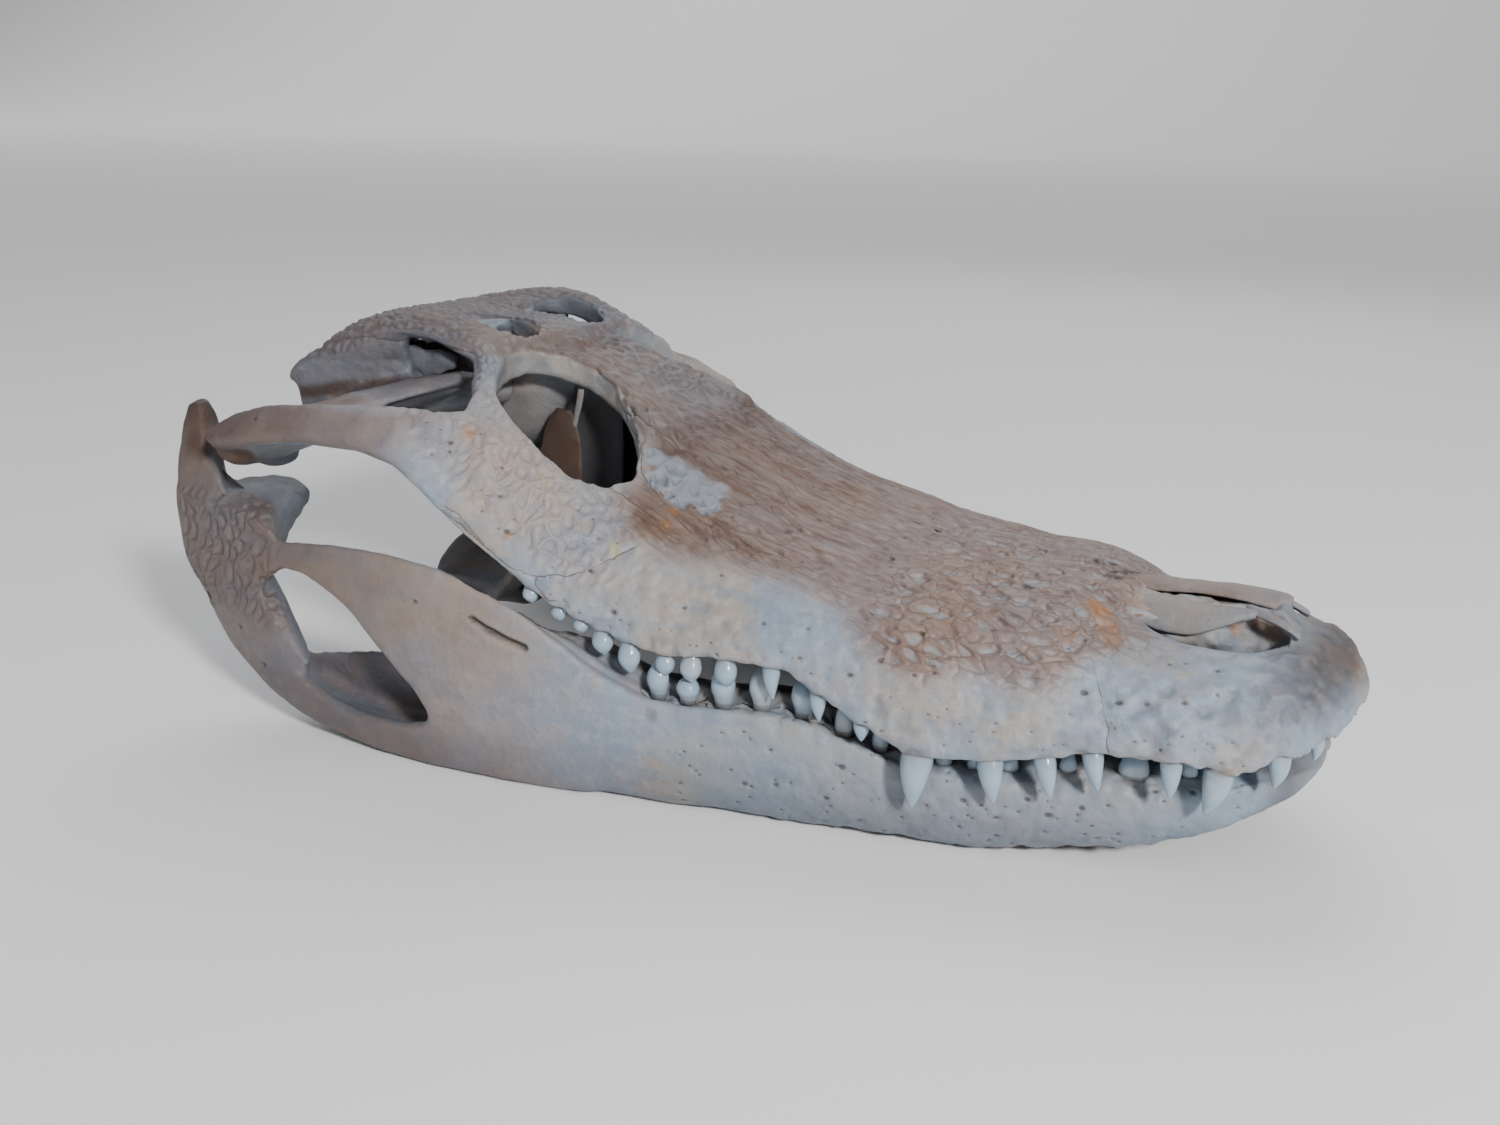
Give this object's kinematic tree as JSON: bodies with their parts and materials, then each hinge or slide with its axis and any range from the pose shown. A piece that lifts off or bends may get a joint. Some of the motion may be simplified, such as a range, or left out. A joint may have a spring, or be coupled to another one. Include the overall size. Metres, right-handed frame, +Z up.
{
  "type": "alligator skull",
  "caption": "Alligator skull at life size, the cranium with its upper teeth resting on the toothed lower jaw.",
  "frame": {"origin": "on the floor under the middle of the skull's overall box", "axes": "+X to the tip of the snout, +Y to the animal's left, +Z up"},
  "size_m": [0.3465, 0.1802, 0.1284],
  "materials": {
    "cranium_bone": "satin",
    "jaw_bone": "satin"
  },
  "bodies": {
    "root": {"premaxilla_right": "cranium_bone", "premaxilla_left": "cranium_bone", "maxilla_right": "cranium_bone", "maxilla_left": "cranium_bone", "frontal": "cranium_bone", "jugal_right": "cranium_bone", "jugal_left": "cranium_bone", "skull_table": "cranium_bone", "braincase": "cranium_bone", "quadrate_right": "cranium_bone", "quadrate_left": "cranium_bone", "pterygoid": "cranium_bone", "dentary_right": "jaw_bone", "dentary_left": "jaw_bone", "surangular_right": "jaw_bone", "surangular_left": "jaw_bone", "angular_right": "jaw_bone", "angular_left": "jaw_bone", "articular_right": "jaw_bone", "articular_left": "jaw_bone"}
  },
  "joints": []
}
